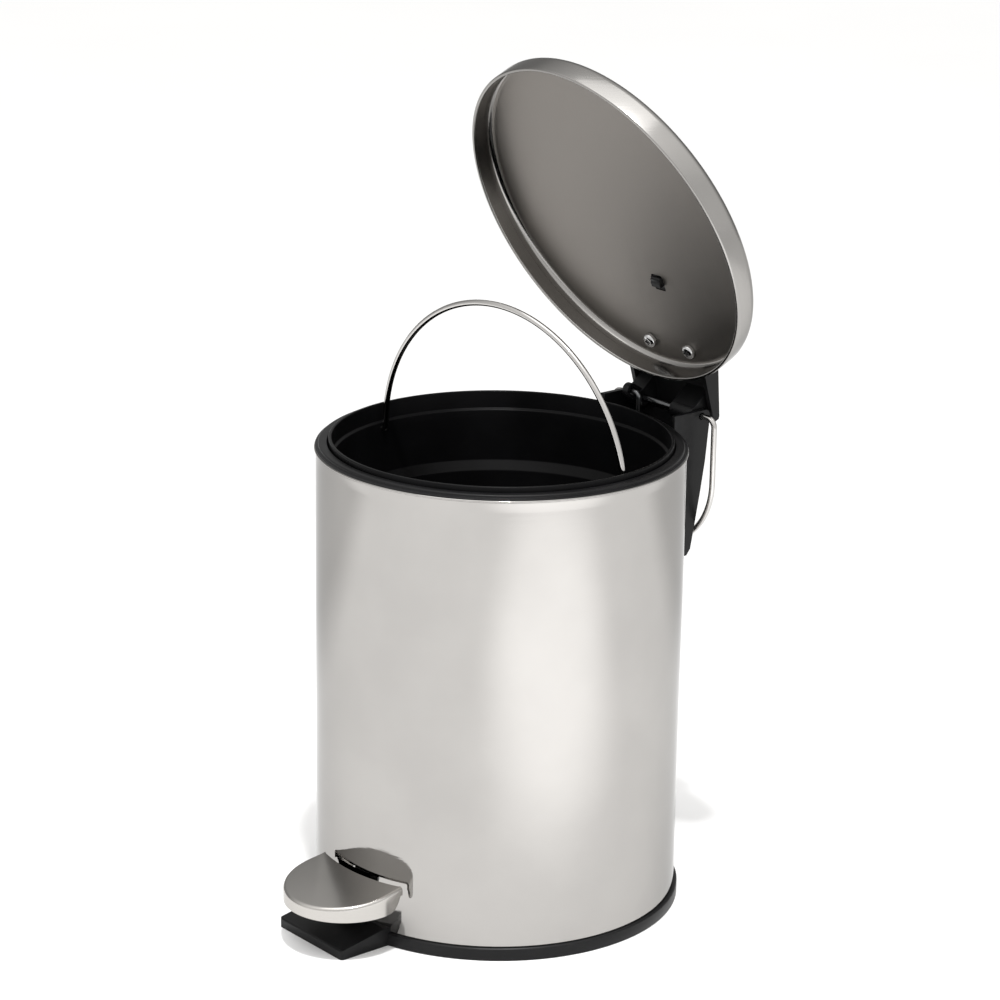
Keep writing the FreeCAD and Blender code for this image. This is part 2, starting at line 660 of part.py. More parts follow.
# ---------------------------------------------------------------- build
SUB_PARTS = {
    "base_plate": make_base_plate,
    "body_shell": make_body_shell,
    "top_collar": make_top_collar,
    "inner_bucket": make_inner_bucket,
    "hinge_housing": make_hinge_housing,
    "housing_screws": make_housing_screws,
    "hinge_tube": make_hinge_tube,
    "rod_guide": make_rod_guide,
    "pivot_pin": make_pivot_pin,
    "pin_clips": make_pin_clips,
    "pivot_clamps": make_pivot_clamps,
    "clamp_screws": make_clamp_screws,
    "lid_shell": make_lid_shell,
    "lid_bracket": make_lid_bracket,
    "lid_screws": make_lid_screws,
    "push_rod": make_push_rod,
    "rod_clip": make_rod_clip,
    "pedal_lever": make_pedal_lever,
    "lever_bush": make_lever_bush,
    "pedal_plate": make_pedal_plate,
    "carry_handle": make_carry_handle,
    "bail_handle": make_bail_handle,
}

os.makedirs("parts", exist_ok=True)
for node, make in SUB_PARTS.items():
    save(make(), node)
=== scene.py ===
import math

import bmesh
import bpy
from mathutils import Matrix, Vector


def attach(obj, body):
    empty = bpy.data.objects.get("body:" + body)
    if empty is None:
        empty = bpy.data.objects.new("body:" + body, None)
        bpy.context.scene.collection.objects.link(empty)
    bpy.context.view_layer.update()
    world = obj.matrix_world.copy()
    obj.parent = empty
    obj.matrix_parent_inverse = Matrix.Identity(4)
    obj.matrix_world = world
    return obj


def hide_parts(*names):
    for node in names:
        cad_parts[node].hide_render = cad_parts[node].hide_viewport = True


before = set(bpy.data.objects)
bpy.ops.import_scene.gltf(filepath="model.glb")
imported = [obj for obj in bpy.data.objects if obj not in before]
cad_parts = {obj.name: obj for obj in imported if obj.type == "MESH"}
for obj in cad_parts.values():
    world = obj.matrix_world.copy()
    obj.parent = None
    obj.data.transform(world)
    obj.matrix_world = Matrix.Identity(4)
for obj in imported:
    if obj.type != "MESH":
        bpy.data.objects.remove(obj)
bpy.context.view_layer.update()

# Metres, +Z up.  The round body stands on the origin, the pedal points to -Y.
MM = 0.001

# ---------------------------------------------------------------- CAD sizes, in mm
BODY_R = 84.0
SHELL_WALL = 0.6
SHELL_LOW = 6.2
SHELL_TOP = 215.3
FLARE_LOW = 209.0
FLARE_OUT = 0.7
ROLL = 0.55
COLLAR_TOP = 217.3
COLLAR_R = 82.9
COLLAR_LIP = 84.3
COLLAR_IN = 78.7
COLLAR_DEPTH = 12.0
COLLAR_GAP = 1.2
BUCKET_R = 77.0
BUCKET_RIM_R = 78.2
BUCKET_TOP = 219.5
BUCKET_LOW = 38.0
BUCKET_LOW_R = 66.0
BUCKET_WALL = 1.4
TAB_TOP = 208.8
HINGE = (0.0, 99.5, 217.8)
LID_OPEN = 65.0
LID_R = 83.4
LID_LOW = 217.7
LID_SIDE = 8.6
LID_SHOULDER = 4.0
LID_CROWN = 1.8
LID_WALL = 0.6
LID_HEM = 6.8
SCREW_X = (-9.35, 17.25)
SCREW_Y = 72.4
PRONG = (9.4, 36.6)
PRONG_HOLE = (3.6, 4.2)
PEDAL_SLOT = (12.0, 13.0, 31.2)
ROD_X = -10.2
ROD_SLOT = (3.2, 156.0, 180.0)
BOSS_X = 10.0
BOSS_HEIGHTS = (168.0, 190.0)
SCREW_HOLE = 1.7
BAIL_R = 73.9
BAIL_Z = 207.3
BAIL_WIRE = 1.4
BAIL_YAW = 7.0
BAIL_LEAN = 3.0
LOOP_HALF = 34.5
LOOP_DROP = 30.5
LOOP_WIRE = 1.35
PEDAL_R = 27.6
PEDAL_Y = -93.6
PEDAL_CORNER = 27.1
PEDAL_REAR_R = 87.0
PEDAL_TOP = 30.9
PEDAL_SLOPE = math.tan(math.radians(7.2))
PEDAL_LOW = 20.5
PEDAL_YAW = 3.6
PEDAL_SHEET = 1.0
PEDAL_EDGE = 1.6
NOTCH_Y = -91.5
NOTCH_R = 7.0
NOTCH_TOP = 27.5


# ---------------------------------------------------------------- mesh helpers
def make_object(name, verts, faces, slots=None):
    """A mesh object from points in mm, with consistent outward normals."""
    mesh = bpy.data.meshes.new(name)
    mesh.from_pydata([Vector(v) * MM for v in verts], [], faces)
    if slots:
        mesh.polygons.foreach_set("material_index", slots)
    obj = bpy.data.objects.new(name, mesh)
    bpy.context.scene.collection.objects.link(obj)
    bm = bmesh.new()
    bm.from_mesh(mesh)
    bmesh.ops.remove_doubles(bm, verts=bm.verts, dist=1e-7)
    bmesh.ops.recalc_face_normals(bm, faces=bm.faces)
    bm.to_mesh(mesh)
    bm.free()
    return obj


def smooth(obj, angle=35.0):
    """Smooth shading with hard edges above an angle."""
    mesh = obj.data
    mesh.polygons.foreach_set("use_smooth", [True] * len(mesh.polygons))
    mesh.set_sharp_from_angle(angle=math.radians(angle))
    mesh.update()


def arc(cx, cy, radius, start, end, steps):
    """Points on an arc, angles in degrees."""
    out = []
    for i in range(steps + 1):
        a = math.radians(start + (end - start) * i / steps)
        out.append((cx + radius * math.cos(a), cy + radius * math.sin(a)))
    return out


def fillet(points, steps=4):
    """A closed outline of (x, y, radius) corners with each corner rounded."""
    out = []
    count = len(points)
    for i in range(count):
        x, y, radius = points[i]
        if radius <= 0:
            out.append((x, y))
            continue
        here = Vector((x, y))
        back = (Vector(points[i - 1][:2]) - here).normalized()
        ahead = (Vector(points[(i + 1) % count][:2]) - here).normalized()
        half = back.angle(ahead) / 2.0
        if half > math.radians(88.0):
            out.append((x, y))
            continue
        centre = here + (back + ahead).normalized() * (radius / math.sin(half))
        first = here + back * (radius / math.tan(half)) - centre
        last = here + ahead * (radius / math.tan(half)) - centre
        turn = first.angle_signed(last)
        for k in range(steps + 1):
            spin = Matrix.Rotation(-turn * k / steps, 2)
            p = centre + spin @ first
            out.append((p.x, p.y))
    return out


def lathe(name, profile, segments=256, slot_of=None):
    """Turn a closed (r, z) outline about Z into a solid."""
    count = len(profile)
    verts = []
    faces = []
    slots = []
    for s in range(segments):
        a = 2.0 * math.pi * s / segments
        verts += [(r * math.cos(a), r * math.sin(a), z) for r, z in profile]
    for s in range(segments):
        t = (s + 1) % segments
        for i in range(count):
            j = (i + 1) % count
            on_axis_i = profile[i][0] < 1e-6
            on_axis_j = profile[j][0] < 1e-6
            if on_axis_i and on_axis_j:
                continue
            a, b = s * count + i, s * count + j
            c, d = t * count + j, t * count + i
            if on_axis_i:
                face = (a, b, c)
            elif on_axis_j:
                face = (a, b, d)
            else:
                face = (a, b, c, d)
            faces.append(face)
            slots.append(slot_of(profile[i], profile[j]) if slot_of else 0)
    return make_object(name, verts, faces, slots)


def sweep(name, path, radius, sides=24):
    """A round wire along a list of points."""
    points = [Vector(p) for p in path]
    tangents = []
    for i in range(len(points)):
        before = points[max(i - 1, 0)]
        after = points[min(i + 1, len(points) - 1)]
        tangents.append((after - before).normalized())
    normal = tangents[0].orthogonal().normalized()
    verts = []
    faces = []
    for i, (p, t) in enumerate(zip(points, tangents)):
        if i:
            normal = (normal - t * normal.dot(t)).normalized()
        side = t.cross(normal)
        for k in range(sides):
            a = 2.0 * math.pi * k / sides
            verts.append(tuple(p + (normal * math.cos(a) + side * math.sin(a)) * radius))
    for i in range(len(points) - 1):
        for k in range(sides):
            n = (k + 1) % sides
            faces.append((i * sides + k, i * sides + n, (i + 1) * sides + n, (i + 1) * sides + k))
    faces.append(tuple(range(sides))[::-1])
    last = (len(points) - 1) * sides
    faces.append(tuple(last + k for k in range(sides)))
    return make_object(name, verts, faces)


def slab(outline, y0, y1):
    """A closed (x, z) outline extruded along Y, for cutters."""
    count = len(outline)
    verts = [(x, y0, z) for x, z in outline] + [(x, y1, z) for x, z in outline]
    faces = [tuple(range(count)), tuple(range(count, 2 * count))[::-1]]
    faces += [(i, (i + 1) % count, count + (i + 1) % count, count + i) for i in range(count)]
    return make_object("cutter", verts, faces)


def slab_z(outline, z0, z1):
    """A closed (x, y) outline extruded along Z, for cutters."""
    count = len(outline)
    verts = [(x, y, z0) for x, y in outline] + [(x, y, z1) for x, y in outline]
    faces = [tuple(range(count)), tuple(range(count, 2 * count))[::-1]]
    faces += [(i, (i + 1) % count, count + (i + 1) % count, count + i) for i in range(count)]
    return make_object("cutter", verts, faces)


def carve(obj, cutters):
    """Cut the cutters out of an object's mesh and drop them."""
    for cutter in cutters:
        mod = obj.modifiers.new("cut", "BOOLEAN")
        mod.operation = "DIFFERENCE"
        mod.solver = "EXACT"
        mod.object = cutter
    bpy.context.view_layer.update()
    done = bpy.data.meshes.new_from_object(obj.evaluated_get(bpy.context.evaluated_depsgraph_get()))
    obj.modifiers.clear()
    old = obj.data
    obj.data = done
    bpy.data.meshes.remove(old)
    for cutter in cutters:
        shape = cutter.data
        bpy.data.objects.remove(cutter)
        bpy.data.meshes.remove(shape)


def wall_normals(obj, radii):
    """Exact radial normals on upright round walls, so that reflections run clean."""
    mesh = obj.data
    normals = [Vector(c.vector) for c in mesh.corner_normals]
    for poly in mesh.polygons:
        if abs(poly.normal.z) > 0.02:
            continue
        for loop in poly.loop_indices:
            p = mesh.vertices[mesh.loops[loop].vertex_index].co
            r = math.hypot(p.x, p.y)
            flat = Vector((p.x, p.y, 0.0)) / r
            if min(abs(r / MM - w) for w in radii) < 0.02 and abs(flat.dot(poly.normal)) > 0.99:
                normals[loop] = flat if flat.dot(poly.normal) > 0 else -flat
    mesh.normals_split_custom_set([tuple(n) for n in normals])


def swing_lid(obj):
    """Turn a piece drawn with the lid closed to the open rest pose."""
    pivot = Matrix.Translation(Vector(HINGE) * MM)
    turn = Matrix.Rotation(math.radians(-LID_OPEN), 4, "X")
    obj.data.transform(pivot @ turn @ pivot.inverted())


def soften(node, width):
    """Small rounded edges on a carried-over CAD node."""
    obj = node_object(node)
    weld = obj.modifiers.new("weld", "WELD")
    weld.merge_threshold = 1e-6
    flat = obj.modifiers.new("flat", "DECIMATE")
    flat.decimate_type = "DISSOLVE"
    flat.angle_limit = math.radians(0.4)
    bevel = obj.modifiers.new("bevel", "BEVEL")
    bevel.width = width * MM
    bevel.segments = 2
    bevel.limit_method = "ANGLE"
    bevel.angle_limit = math.radians(28.0)
    bevel.harden_normals = True
    bevel.miter_outer = "MITER_ARC"
    bevel.use_clamp_overlap = True


def node_object(node):
    """The Blender object that carries a CAD node."""
    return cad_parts[node]


# ---------------------------------------------------------------- materials
def new_material(name, colour, metallic, roughness):
    """A Principled material, its node tree, its shader and its object coordinates."""
    mat = bpy.data.materials.new(name)
    mat.use_nodes = True
    tree = mat.node_tree
    shader = tree.nodes["Principled BSDF"]
    shader.inputs["Base Color"].default_value = (*colour, 1.0)
    shader.inputs["Metallic"].default_value = metallic
    shader.inputs["Roughness"].default_value = roughness
    coords = tree.nodes.new("ShaderNodeTexCoord")
    return mat, tree, shader, coords.outputs["Object"]


def stretched_noise(tree, vector, scale, detail, stretch=(1.0, 1.0, 1.0)):
    """A noise pattern, stretched per axis."""
    mapping = tree.nodes.new("ShaderNodeMapping")
    mapping.inputs["Scale"].default_value = stretch
    tree.links.new(vector, mapping.inputs["Vector"])
    noise = tree.nodes.new("ShaderNodeTexNoise")
    noise.inputs["Scale"].default_value = scale
    noise.inputs["Detail"].default_value = detail
    noise.inputs["Roughness"].default_value = 0.5
    tree.links.new(mapping.outputs["Vector"], noise.inputs["Vector"])
    return noise.outputs["Fac"]


def ramp(tree, factor, low, high):
    """Map a pattern to a colour range."""
    node = tree.nodes.new("ShaderNodeValToRGB")
    node.color_ramp.elements[0].position = 0.35
    node.color_ramp.elements[1].position = 0.65
    node.color_ramp.elements[0].color = (*low, 1.0)
    node.color_ramp.elements[1].color = (*high, 1.0)
    tree.links.new(factor, node.inputs["Fac"])
    return node.outputs["Color"]


def spread(tree, factor, low, high):
    """Map a pattern to a number range."""
    node = tree.nodes.new("ShaderNodeMapRange")
    node.inputs["From Min"].default_value = 0.3
    node.inputs["From Max"].default_value = 0.7
    node.inputs["To Min"].default_value = low
    node.inputs["To Max"].default_value = high
    tree.links.new(factor, node.inputs["Value"])
    return node.outputs["Result"]


def add_bump(tree, shader, height, strength, distance):
    """Feed a height pattern to the shader's normal."""
    bump = tree.nodes.new("ShaderNodeBump")
    bump.inputs["Strength"].default_value = strength
    bump.inputs["Distance"].default_value = distance
    tree.links.new(height, bump.inputs["Height"])
    tree.links.new(bump.outputs["Normal"], shader.inputs["Normal"])


def steel(name, base, roughness, grain, grain_strength, edge_tint, smudge=0.03):
    """Polished or brushed steel: grain, faint smudges and a darker grazing edge."""
    mat, tree, shader, where = new_material(name, base, 1.0, roughness)
    shader.inputs["Specular Tint"].default_value = (edge_tint, edge_tint, edge_tint, 1.0)
    lines = stretched_noise(tree, where, 60.0, 3.0, grain)
    clouds = stretched_noise(tree, where, 22.0, 4.0)
    low = tuple(c * 0.965 for c in base)
    high = tuple(min(c * 1.03, 1.0) for c in base)
    tree.links.new(ramp(tree, clouds, low, high), shader.inputs["Base Color"])
    dullness = spread(tree, clouds, roughness - smudge * 0.5, roughness + smudge)
    tree.links.new(dullness, shader.inputs["Roughness"])
    add_bump(tree, shader, lines, grain_strength, 0.0002)
    return mat


def plastic(name, base, roughness, grain_scale, grain_strength, shine):
    """Moulded plastic: fine grain and slightly uneven sheen."""
    mat, tree, shader, where = new_material(name, base, 0.0, roughness)
    shader.inputs["Specular IOR Level"].default_value = shine
    grain = stretched_noise(tree, where, grain_scale, 2.0)
    clouds = stretched_noise(tree, where, 30.0, 3.0)
    low = tuple(c * 0.8 for c in base)
    high = tuple(c * 1.3 for c in base)
    tree.links.new(ramp(tree, clouds, low, high), shader.inputs["Base Color"])
    tree.links.new(spread(tree, clouds, roughness - 0.05, roughness + 0.07), shader.inputs["Roughness"])
    add_bump(tree, shader, grain, grain_strength, 0.0001)
    return mat


body_steel = steel("body_steel", (0.365, 0.354, 0.342), 0.045, (0.4, 0.4, 26.0), 0.04, 0.70, 0.015)
lid_steel = steel("lid_steel", (0.31, 0.301, 0.290), 0.17, (0.6, 0.6, 26.0), 0.10, 0.70)
lid_inner_steel = steel("lid_inner_steel", (0.225, 0.210, 0.194), 0.44, (30.0, 0.8, 0.8), 0.25, 0.8, 0.05)
pedal_chrome = steel("pedal_chrome", (0.44, 0.425, 0.405), 0.17, (1.0, 1.0, 1.0), 0.02, 0.8, 0.03)
chrome = steel("chrome", (0.50, 0.488, 0.475), 0.045, (1.0, 1.0, 1.0), 0.02, 0.8, 0.02)
# Hinge tube, push rod, pedal lever, bush and pivot pin: their dark base colour is painted shade of the dark
# hinge recess between the housing walls.
shade_painted_steel = steel("zinc_steel", (0.16, 0.163, 0.167), 0.26, (4.0, 4.0, 4.0), 0.08, 0.9, 0.06)
screw_steel = steel("screw_steel", (0.52, 0.52, 0.52), 0.14, (5.0, 5.0, 5.0), 0.05, 0.9)
black_plastic = plastic("black_plastic", (0.005, 0.005, 0.0054), 0.36, 1500.0, 0.10, 0.18)
bucket_plastic = plastic("bucket_plastic", (0.003, 0.003, 0.0033), 0.32, 1500.0, 0.12, 0.09)


def dress(obj, *materials):
    """Give an object its materials, in slot order."""
    if len(obj.data.materials):
        obj.data.materials.clear()
    for material in materials:
        obj.data.materials.append(material)


# ---------------------------------------------------------------- fixed body
def make_body():
    """Round steel shell with a flared top edge, a pedal slot, a rod slot and screw holes."""
    inner = BODY_R - SHELL_WALL
    outer_side = [(BODY_R, SHELL_LOW), (BODY_R, SHELL_LOW + 3.0), (BODY_R, FLARE_LOW - 2.0)]
    inner_side = [(inner, FLARE_LOW - 2.0), (inner, SHELL_LOW)]
    flare = []
    for i in range(9):
        t = i / 8.0
        flare.append((0.3 * t * t, FLARE_LOW + (SHELL_TOP - 1.2 - FLARE_LOW) * t))
    roll = arc(BODY_R + FLARE_OUT - ROLL, SHELL_TOP - ROLL, ROLL, -75.0, 180.0, 12)
    rise = [(BODY_R + dr, z) for dr, z in flare]
    fall = [(inner + dr, z) for dr, z in flare[::-1][1:]]
    profile = outer_side + rise + roll + fall + inner_side
    body = lathe("body_skin", profile, 360)
    half, low, high = PEDAL_SLOT
    slot = fillet([(-half, low, 2), (-half, high, 2), (half, high, 2), (half, low, 2)])
    half, low, high = ROD_SLOT
    left, right = ROD_X - half, ROD_X + half
    rod_slot = fillet([(left, low, 3), (left, high, 3), (right, high, 3), (right, low, 3)])
    near, far = BODY_R - 6.0, BODY_R + 6.0
    cutters = [slab(slot, -far, -near), slab(rod_slot, near, far)]
    for height in BOSS_HEIGHTS:
        cutters.append(slab(arc(BOSS_X, height, SCREW_HOLE, 0.0, 345.0, 23), near, far))
    carve(body, cutters)
    smooth(body, 30.0)
    wall_normals(body, (BODY_R, inner))
    dress(body, body_steel)
    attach(body, "bin")
    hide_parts("body_shell")


def make_collar():
    """Black collar ring with soft edges.  Its four tabs, hidden under the bucket's rim, are left out."""
    low = SHELL_TOP - COLLAR_DEPTH
    plug = BODY_R - SHELL_WALL - COLLAR_GAP
    profile = fillet([
        (plug - 1.4, low, 0.2), (plug, low, 0.2), (plug, SHELL_TOP + 0.02, 0),
        (COLLAR_LIP, SHELL_TOP + 0.02, 0.1), (COLLAR_LIP, SHELL_TOP + 0.5, 0.2),
        (COLLAR_R, SHELL_TOP + 0.8, 0.2), (COLLAR_R, COLLAR_TOP, 0.7), (COLLAR_IN, COLLAR_TOP, 0.6),
        (COLLAR_IN, SHELL_TOP - 3.0, 0.2), (COLLAR_IN + 1.2, SHELL_TOP - 3.0, 0.2),
        (COLLAR_IN + 1.2, COLLAR_TOP - 1.8, 0), (plug - 1.4, COLLAR_TOP - 1.8, 0)][::-1])
    collar = lathe("collar_ring", profile, 256)
    smooth(collar)
    dress(collar, black_plastic)
    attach(collar, "bin")
    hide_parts("top_collar")


def make_bucket():
    """Lift-out bucket with a stepped lip, a shoulder and two bail holes."""
    inner_r = BUCKET_R - BUCKET_WALL
    inner_rim_r = BUCKET_RIM_R - BUCKET_WALL
    floor = BUCKET_LOW + 1.6
    outer = [
        (0.0, BUCKET_LOW, 0), (BUCKET_LOW_R, BUCKET_LOW, 3.0), (73.6, 181.0, 2.0), (76.3, 185.4, 2.0),
        (BUCKET_R, 206.0, 0.5), (BUCKET_R, TAB_TOP, 0.2), (BUCKET_RIM_R, TAB_TOP, 0.3),
        (BUCKET_RIM_R, BUCKET_TOP, 0.45)]
    inner = [
        (inner_rim_r, BUCKET_TOP, 0.45), (inner_rim_r, 211.2, 0.3), (inner_r, 210.4, 0.5),
        (inner_r, 206.3, 2.0), (74.95, 186.0, 1.5), (72.2, 181.6, 1.5),
        (BUCKET_LOW_R - 1.6, floor, 3.0), (0.0, floor, 0)]
    outline = outer + inner
    bucket = lathe("bucket_skin", fillet(outline[::-1], 4), 256)
    yaw = math.radians(BAIL_YAW)
    along = Vector((math.cos(yaw), math.sin(yaw), 0.0))
    height = Vector((0.0, 0.0, BAIL_Z))
    holes = []
    for side in (-1, 1):
        path = [height + along * 70.0 * side, height + along * 82.0 * side]
        holes.append(sweep("cutter", path, BAIL_WIRE + 0.05, 24))
    carve(bucket, holes)
    smooth(bucket)
    dress(bucket, bucket_plastic)
    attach(bucket, "bin")
    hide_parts("inner_bucket")


# ---------------------------------------------------------------- lid
def make_lid():
    """Pressed steel lid with a hemmed rim and a dull inside."""
    side_top = LID_LOW + LID_SIDE
    edge = LID_R - LID_SHOULDER
    wall = LID_WALL

    def skin(offset):
        crown_z = side_top + LID_SHOULDER + LID_CROWN + offset
        shoulder = arc(edge, side_top, LID_SHOULDER + offset, 0.0, 84.0, 12)
        last = shoulder[-1]
        crown = []
        for i in range(1, 13):
            r = last[0] * (1.0 - i / 12.0)
            crown.append((r, crown_z - (crown_z - last[1]) * (r / last[0]) ** 2))
        return shoulder + crown

    rim = arc(LID_R - 0.85, LID_LOW + 0.85, 0.85, 180.0, 360.0, 10)
    outside = skin(0.0)
    inside = skin(-wall)[::-1]
    tuck = [(LID_R - wall, LID_LOW + LID_HEM), (LID_R - 1.4, LID_LOW + LID_HEM),
            (LID_R - 1.7, LID_LOW + LID_HEM - 0.3)]
    profile = rim + outside + inside + tuck

    def slot_of(a, b):
        """Slot 1 for the flat inside of the pan, which lies under the outer skin."""
        on_plate = max(a[0], b[0]) < edge - wall + 3.2 and abs(a[1] - b[1]) < abs(a[0] - b[0]) * 0.6
        r = (a[0] + b[0]) / 2.0
        z = (a[1] + b[1]) / 2.0
        outer_z = side_top + LID_SHOULDER + LID_CROWN * (1.0 - (r / edge) ** 2)
        return 1 if on_plate and z < outer_z - wall / 4.0 else 0

    lid = lathe("lid_skin", profile, 300, slot_of)
    dress(lid, lid_steel, lid_inner_steel)
    cutters = [slab_z(arc(x, SCREW_Y, SCREW_HOLE, 0.0, 345.0, 23), 220.0, 240.0) for x in SCREW_X]
    left, right = PRONG[0] - PRONG_HOLE[0], PRONG[0] + PRONG_HOLE[0]
    front, rear = PRONG[1] - PRONG_HOLE[1], PRONG[1] + PRONG_HOLE[1]
    hole = fillet([(left, front, 1.0), (left, rear, 1.0), (right, rear, 1.0), (right, front, 1.0)])
    cutters.append(slab_z(hole, 225.0, 240.0))
    carve(lid, cutters)
    swing_lid(lid)
    smooth(lid, 40.0)
    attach(lid, "lid")
    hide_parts("lid_shell")


# ---------------------------------------------------------------- pedal
def make_pedal():
    """Pressed chrome pedal: flat top, rounded edge, skirt and open rear."""
    corner_y = -math.sqrt(PEDAL_REAR_R ** 2 - PEDAL_CORNER ** 2)
    dx, dy = PEDAL_CORNER, corner_y - PEDAL_Y
    tangent = math.degrees(math.atan2(dy, dx) - math.acos(min(PEDAL_R / math.hypot(dx, dy), 1.0)))
    front = arc(0.0, PEDAL_Y, PEDAL_R, tangent, -180.0 - tangent, 96)
    flank = [Vector((PEDAL_CORNER, corner_y)).lerp(Vector(front[0]), i / 8) for i in range(8)]
    path = [tuple(p) for p in flank] + front + [(-p[0], p[1]) for p in flank[::-1]]
    normals = []
    for i in range(len(path)):
        a = Vector(path[max(i - 1, 0)])
        b = Vector(path[min(i + 1, len(path) - 1)])
        t = (b - a).normalized()
        n = Vector((-t.y, t.x))
        if n.dot(Vector(path[i]) - Vector((0.0, PEDAL_Y))) < 0:
            n = -n
        normals.append(n)
    sheet = PEDAL_SHEET
    edge = PEDAL_EDGE

    def plane(y):
        return PEDAL_TOP - PEDAL_SLOPE * (-86.0 - y)

    def skirt_low(y):
        if y < NOTCH_Y:
            return PEDAL_LOW
        if y < NOTCH_Y + NOTCH_R:
            return NOTCH_TOP - math.sqrt(max(NOTCH_R ** 2 - (y - NOTCH_Y) ** 2, 0.0))
        return NOTCH_TOP

    rings = []
    for k in range(9):
        a = math.radians(90.0 - 90.0 * k / 8)
        rings.append((edge - edge * math.cos(a), edge - edge * math.sin(a), "top"))
    for drop in (0.35, 0.7):
        rings.append((0.0, drop, "wall"))
    rings.append((0.0, 1.0, "wall"))
    rings.append((sheet * 0.5, 1.0, "lip"))
    rings.append((sheet, 1.0, "wall"))
    rings.append((sheet, 0.5, "wall"))
    for k in range(5):
        a = math.radians(90.0 * k / 4)
        small = edge - sheet
        rings.append((edge - small * math.cos(a), edge - small * math.sin(a), "under"))
    verts = []
    for inset, level, kind in rings:
        for p, n in zip(path, normals):
            x, y = p[0] - n.x * inset, p[1] - n.y * inset
            top = plane(y)
            low = skirt_low(p[1])
            if kind == "top" or kind == "under":
                z = top - level
            else:
                z = (top - edge) + (low - top + edge) * level
                if kind == "lip":
                    z -= 0.12
            verts.append((x, y, z))
    count = len(path)
    faces = []
    for r in range(len(rings) - 1):
        for i in range(count - 1):
            a = r * count + i
            faces.append((a, a + 1, a + count + 1, a + count))
    rear = []
    steps = 24
    half = math.asin(PEDAL_CORNER / PEDAL_REAR_R)
    for k in range(steps + 1):
        a = -math.pi / 2 - half + 2 * half * k / steps
        rear.append((PEDAL_REAR_R * math.cos(a), PEDAL_REAR_R * math.sin(a)))
    left_end, right_end = count - 1, 0
    top_ring = list(range(count))
    under_ring = [(len(rings) - 1) * count + i for i in range(count)]
    base = len(verts)
    inner = [p for p in rear if abs(p[0]) < PEDAL_CORNER - edge - 0.3]
    verts += [(x, y, plane(y)) for x, y in inner]
    verts += [(x, y, plane(y) - sheet) for x, y in inner]
    m = len(inner)
    top_rear = [base + i for i in range(m)]
    under_rear = [base + m + i for i in range(m)]
    faces.append(tuple(top_ring + top_rear))
    faces.append(tuple((under_ring + under_rear)[::-1]))
    for i in range(m - 1):
        faces.append((top_rear[i], under_rear[i], under_rear[i + 1], top_rear[i + 1]))
    left_column = [r * count + left_end for r in range(len(rings))]
    right_column = [r * count + right_end for r in range(len(rings))]
    faces.append(tuple([top_rear[0]] + left_column + [under_rear[0]]))
    faces.append(tuple([top_rear[-1]] + right_column + [under_rear[-1]]))
    pedal = make_object("pedal_skin", verts, faces)
    pedal.data.transform(Matrix.Rotation(math.radians(PEDAL_YAW), 4, "Z"))
    smooth(pedal, 50.0)
    dress(pedal, pedal_chrome)
    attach(pedal, "pedal")
    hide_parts("pedal_plate")


# ---------------------------------------------------------------- wires
def make_bail():
    """Half-round wire bail with its ends bent out into the bucket wall."""
    r, z, rise, bend = BAIL_R, BAIL_Z, 3.0, 2.0
    lift = math.sqrt(r * r - rise * rise)
    right = [(r + 4.4, z), (lift + bend + 1.0, z)] + arc(lift + bend, z + bend, bend, -90.0, -180.0, 8)
    start = math.degrees(math.asin(rise / r))
    bow = arc(0.0, z, r, start, 180.0 - start, 120)
    left = [(-x, h) for x, h in right[::-1]]
    lean = math.radians(BAIL_LEAN)
    path = [(x, -(h - z) * math.sin(lean), z + (h - z) * math.cos(lean)) for x, h in right + bow + left]
    bail = sweep("bail_wire", path, BAIL_WIRE, 32)
    bail.data.transform(Matrix.Rotation(math.radians(BAIL_YAW), 4, "Z"))
    smooth(bail, 50.0)
    dress(bail, chrome)
    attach(bail, "bail")
    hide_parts("bail_handle")


def make_carry_loop():
    """Wire loop that hangs from the hinge tube."""
    half, bend, drop = LOOP_HALF, 4.0, LOOP_DROP
    y, z = HINGE[1], HINGE[2]
    right = [(19.0, z), (half - bend - 0.5, z)] + arc(half - bend, z - bend, bend, 90.0, 0.0, 10)
    right += [(half, z - drop + 0.5)]
    bow = arc(0.0, z - drop, half, 0.0, -180.0, 72)
    left = [(-x, h) for x, h in right[::-1]]
    loop = sweep("carry_wire", [(x, y, h) for x, h in right + bow + left], LOOP_WIRE, 32)
    smooth(loop, 50.0)
    dress(loop, chrome)
    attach(loop, "carry_loop")
    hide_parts("carry_handle")


make_body()
make_collar()
make_bucket()
make_lid()
make_pedal()
make_bail()
make_carry_loop()

# ---------------------------------------------------------------- carried-over CAD nodes
# The hinge tube, push rod, pedal lever, bush and pivot pin take the dark steel whose base colour is painted
# shade of the hinge recess.
CAD_LOOKS = {
    "base_plate": black_plastic, "hinge_housing": black_plastic, "lid_bracket": black_plastic,
    "rod_guide": black_plastic, "pivot_clamps": black_plastic, "hinge_tube": shade_painted_steel, "push_rod": shade_painted_steel,
    "pedal_lever": shade_painted_steel, "lever_bush": shade_painted_steel, "pivot_pin": shade_painted_steel, "housing_screws": screw_steel,
    "pin_clips": screw_steel, "clamp_screws": screw_steel, "lid_screws": screw_steel, "rod_clip": screw_steel}
for cad_name, look in CAD_LOOKS.items():
    dress(node_object(cad_name), look)
soften("base_plate", 0.35)
soften("hinge_housing", 0.45)
soften("lid_bracket", 0.45)


# ---------------------------------------------------------------- studio
CAMERA_AZIMUTH = 49.918


